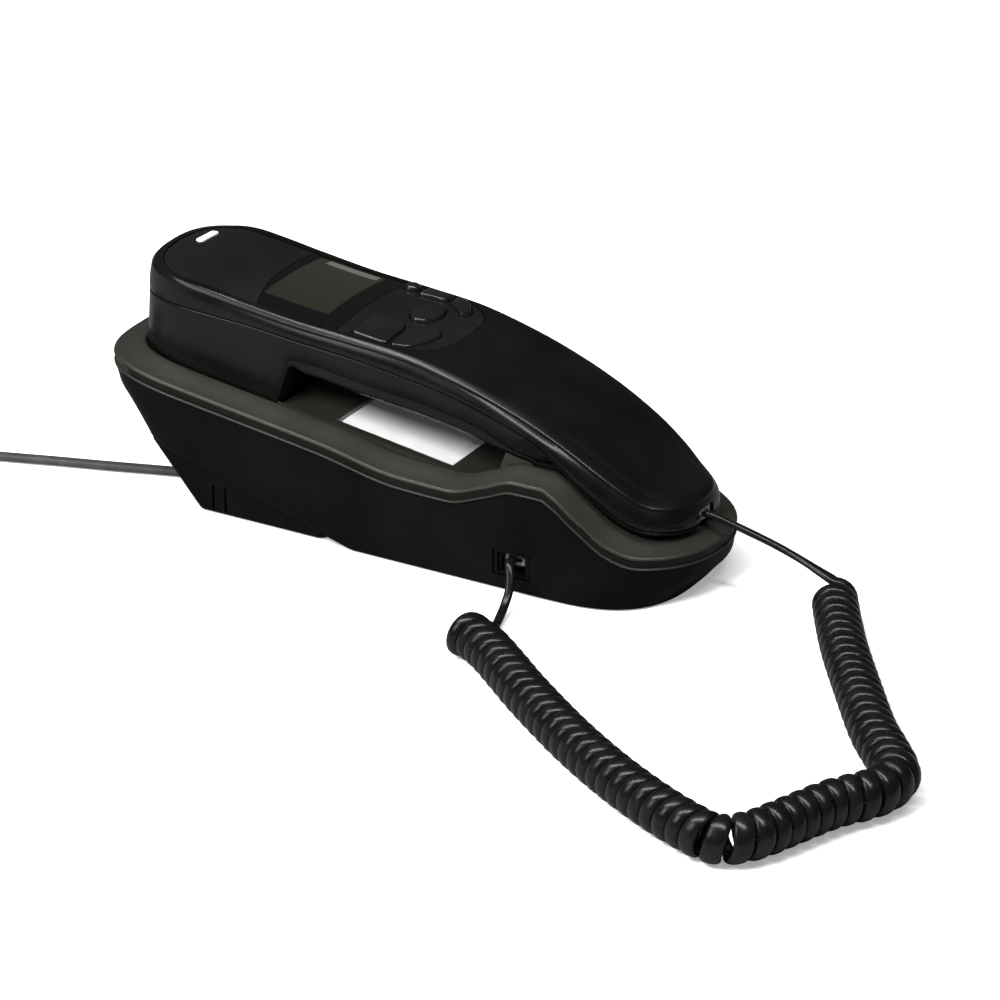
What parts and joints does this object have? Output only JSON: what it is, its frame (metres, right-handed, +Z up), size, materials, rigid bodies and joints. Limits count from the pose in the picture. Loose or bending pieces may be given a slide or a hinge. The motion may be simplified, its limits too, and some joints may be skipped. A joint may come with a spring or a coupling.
{
  "type": "corded telephone",
  "caption": "Slim corded desk telephone: an arched handset with a caller display lies keypad down on a low cradle base, with a curly handset cord and a line cord",
  "frame": {"origin": "bottom centre of the base, on the table, measured without the cords", "axes": "+X along the phone from the earpiece end to the mouthpiece end, +Y to the far side, +Z up"},
  "size_m": [0.446, 0.197, 0.0761],
  "materials": {
    "handset_plastic": "satin near-black plastic",
    "base_plastic": "fine-grained near-black plastic",
    "inner_plastic": "plain dark moulding",
    "key_plastic": "satin black keys",
    "gloss_panel": "gloss black inset panel",
    "display_glass": "dark olive display behind a clear lens",
    "lamp_white": "white translucent lamp bar",
    "card_paper": "white card",
    "clear_plastic": "clear plastic",
    "cord_rubber": "glossy black cord jacket",
    "foot_rubber": "black rubber",
    "steel": "plain steel",
    "board": "green circuit board",
    "brass": "brass disc"
  },
  "bodies": {
    "base": {"base_body": "base_plastic", "cradle_top": "base_plastic", "foot_front": "foot_rubber", "index_card": "card_paper", "card_cover": "clear_plastic", "hook_switch": "inner_plastic", "hook_spring": "steel", "base_board": "board", "ringer": "brass", "ballast_plate": "steel", "base_jack": "inner_plastic", "line_jack": "inner_plastic", "base_screw_ear": "steel", "base_screw_mouth": "steel", "base_plug": "clear_plastic", "line_plug_inner": "clear_plastic", "handset_cord": "cord_rubber", "line_cord": "cord_rubber", "line_cord_coil": "cord_rubber", "line_plug": "clear_plastic", "cord_tie": "cord_rubber"},
    "handset": {"handset_back": "handset_plastic", "handset_front": "handset_plastic", "ear_panel": "gloss_panel", "display_lens": "display_glass", "key_panel": "gloss_panel", "display_module": "display_glass", "indicator_lens": "lamp_white", "handset_board": "board", "receiver": "inner_plastic", "microphone": "inner_plastic", "handset_jack": "inner_plastic", "handset_screw_ear": "steel", "handset_screw_mouth": "steel", "handset_plug": "clear_plastic"},
    "bracket": {"tilt_bracket": "base_plastic", "foot_back": "foot_rubber"},
    "hook": {"hook_plunger": "inner_plastic"},
    "hanger": {"hanger_tab": "base_plastic"},
    "ringer_switch": {"ringer_knob": "key_plastic"},
    "number_key_1_body": {"number_key_1": "key_plastic"},
    "number_key_2_body": {"number_key_2": "key_plastic"},
    "number_key_3_body": {"number_key_3": "key_plastic"},
    "number_key_4_body": {"number_key_4": "key_plastic"},
    "number_key_5_body": {"number_key_5": "key_plastic"},
    "number_key_6_body": {"number_key_6": "key_plastic"},
    "number_key_7_body": {"number_key_7": "key_plastic"},
    "number_key_8_body": {"number_key_8": "key_plastic"},
    "number_key_9_body": {"number_key_9": "key_plastic"},
    "star_key_body": {"star_key": "key_plastic"},
    "number_key_0_body": {"number_key_0": "key_plastic"},
    "pound_key_body": {"pound_key": "key_plastic"},
    "flash_key_body": {"flash_key": "key_plastic"},
    "redial_key_body": {"redial_key": "key_plastic"},
    "option_key_body": {"option_key": "key_plastic"},
    "remove_key_body": {"remove_key": "key_plastic"},
    "up_key_body": {"up_key": "key_plastic"},
    "down_key_body": {"down_key": "key_plastic"},
    "dial_key_body": {"dial_key": "key_plastic"},
    "round_key_body": {"round_key": "key_plastic"}
  },
  "joints": [
    {"name": "handset_lift", "type": "slide", "parent": "base", "child": "handset", "axis": [0, 0, 1], "range_m": [0, 0.06], "deforming": ["handset_cord", "hook_spring"]},
    {"name": "hook_travel", "type": "slide", "parent": "base", "child": "hook", "axis": [0, 0, 1], "range_m": [0, 0.0022], "deforming": ["hook_spring"]},
    {"name": "bracket_slide", "type": "slide", "parent": "base", "child": "bracket", "axis": [-0.9636, 0, 0.2672], "range_m": [0, 0.008]},
    {"name": "hanger_tab_slide", "type": "slide", "parent": "base", "child": "hanger", "axis": [0, 0, 1], "range_m": [0, 0.006]},
    {"name": "ringer_knob_slide", "type": "slide", "parent": "base", "child": "ringer_switch", "axis": [1, 0, 0], "range_m": [0, 0.006]},
    {"name": "number_key_1_press", "type": "slide", "parent": "handset", "child": "number_key_1_body", "axis": [0, 0, 1], "range_m": [0, 0.0008], "stiffness_N_per_m": 600, "springref_m": -0.0003},
    {"name": "number_key_2_press", "type": "slide", "parent": "handset", "child": "number_key_2_body", "axis": [0, 0, 1], "range_m": [0, 0.0008], "stiffness_N_per_m": 600, "springref_m": -0.0003},
    {"name": "number_key_3_press", "type": "slide", "parent": "handset", "child": "number_key_3_body", "axis": [0, 0, 1], "range_m": [0, 0.0008], "stiffness_N_per_m": 600, "springref_m": -0.0003},
    {"name": "number_key_4_press", "type": "slide", "parent": "handset", "child": "number_key_4_body", "axis": [0, 0, 1], "range_m": [0, 0.0008], "stiffness_N_per_m": 600, "springref_m": -0.0003},
    {"name": "number_key_5_press", "type": "slide", "parent": "handset", "child": "number_key_5_body", "axis": [0, 0, 1], "range_m": [0, 0.0008], "stiffness_N_per_m": 600, "springref_m": -0.0003},
    {"name": "number_key_6_press", "type": "slide", "parent": "handset", "child": "number_key_6_body", "axis": [0, 0, 1], "range_m": [0, 0.0008], "stiffness_N_per_m": 600, "springref_m": -0.0003},
    {"name": "number_key_7_press", "type": "slide", "parent": "handset", "child": "number_key_7_body", "axis": [0, 0, 1], "range_m": [0, 0.0008], "stiffness_N_per_m": 600, "springref_m": -0.0003},
    {"name": "number_key_8_press", "type": "slide", "parent": "handset", "child": "number_key_8_body", "axis": [0, 0, 1], "range_m": [0, 0.0008], "stiffness_N_per_m": 600, "springref_m": -0.0003},
    {"name": "number_key_9_press", "type": "slide", "parent": "handset", "child": "number_key_9_body", "axis": [0, 0, 1], "range_m": [0, 0.0008], "stiffness_N_per_m": 600, "springref_m": -0.0003},
    {"name": "star_key_press", "type": "slide", "parent": "handset", "child": "star_key_body", "axis": [0, 0, 1], "range_m": [0, 0.0008], "stiffness_N_per_m": 600, "springref_m": -0.0003},
    {"name": "number_key_0_press", "type": "slide", "parent": "handset", "child": "number_key_0_body", "axis": [0, 0, 1], "range_m": [0, 0.0008], "stiffness_N_per_m": 600, "springref_m": -0.0003},
    {"name": "pound_key_press", "type": "slide", "parent": "handset", "child": "pound_key_body", "axis": [0, 0, 1], "range_m": [0, 0.0008], "stiffness_N_per_m": 600, "springref_m": -0.0003},
    {"name": "flash_key_press", "type": "slide", "parent": "handset", "child": "flash_key_body", "axis": [0, 0, 1], "range_m": [0, 0.0008], "stiffness_N_per_m": 600, "springref_m": -0.0003},
    {"name": "redial_key_press", "type": "slide", "parent": "handset", "child": "redial_key_body", "axis": [0, 0, 1], "range_m": [0, 0.0008], "stiffness_N_per_m": 600, "springref_m": -0.0003},
    {"name": "option_key_press", "type": "slide", "parent": "handset", "child": "option_key_body", "axis": [0, 0, -1], "range_m": [0, 0.0006], "stiffness_N_per_m": 600, "springref_m": -0.0003},
    {"name": "remove_key_press", "type": "slide", "parent": "handset", "child": "remove_key_body", "axis": [0, 0, -1], "range_m": [0, 0.0006], "stiffness_N_per_m": 600, "springref_m": -0.0003},
    {"name": "up_key_press", "type": "slide", "parent": "handset", "child": "up_key_body", "axis": [0, 0, -1], "range_m": [0, 0.0006], "stiffness_N_per_m": 600, "springref_m": -0.0003},
    {"name": "down_key_press", "type": "slide", "parent": "handset", "child": "down_key_body", "axis": [0, 0, -1], "range_m": [0, 0.0006], "stiffness_N_per_m": 600, "springref_m": -0.0003},
    {"name": "dial_key_press", "type": "slide", "parent": "handset", "child": "dial_key_body", "axis": [0, 0, -1], "range_m": [0, 0.0006], "stiffness_N_per_m": 600, "springref_m": -0.0003},
    {"name": "round_key_press", "type": "slide", "parent": "handset", "child": "round_key_body", "axis": [0, 0, -1], "range_m": [0, 0.0006], "stiffness_N_per_m": 600, "springref_m": -0.0003}
  ],
  "couplings": [
    {"joint": "hook_travel", "follows": "handset_lift", "ratio": 0.036667}
  ]
}
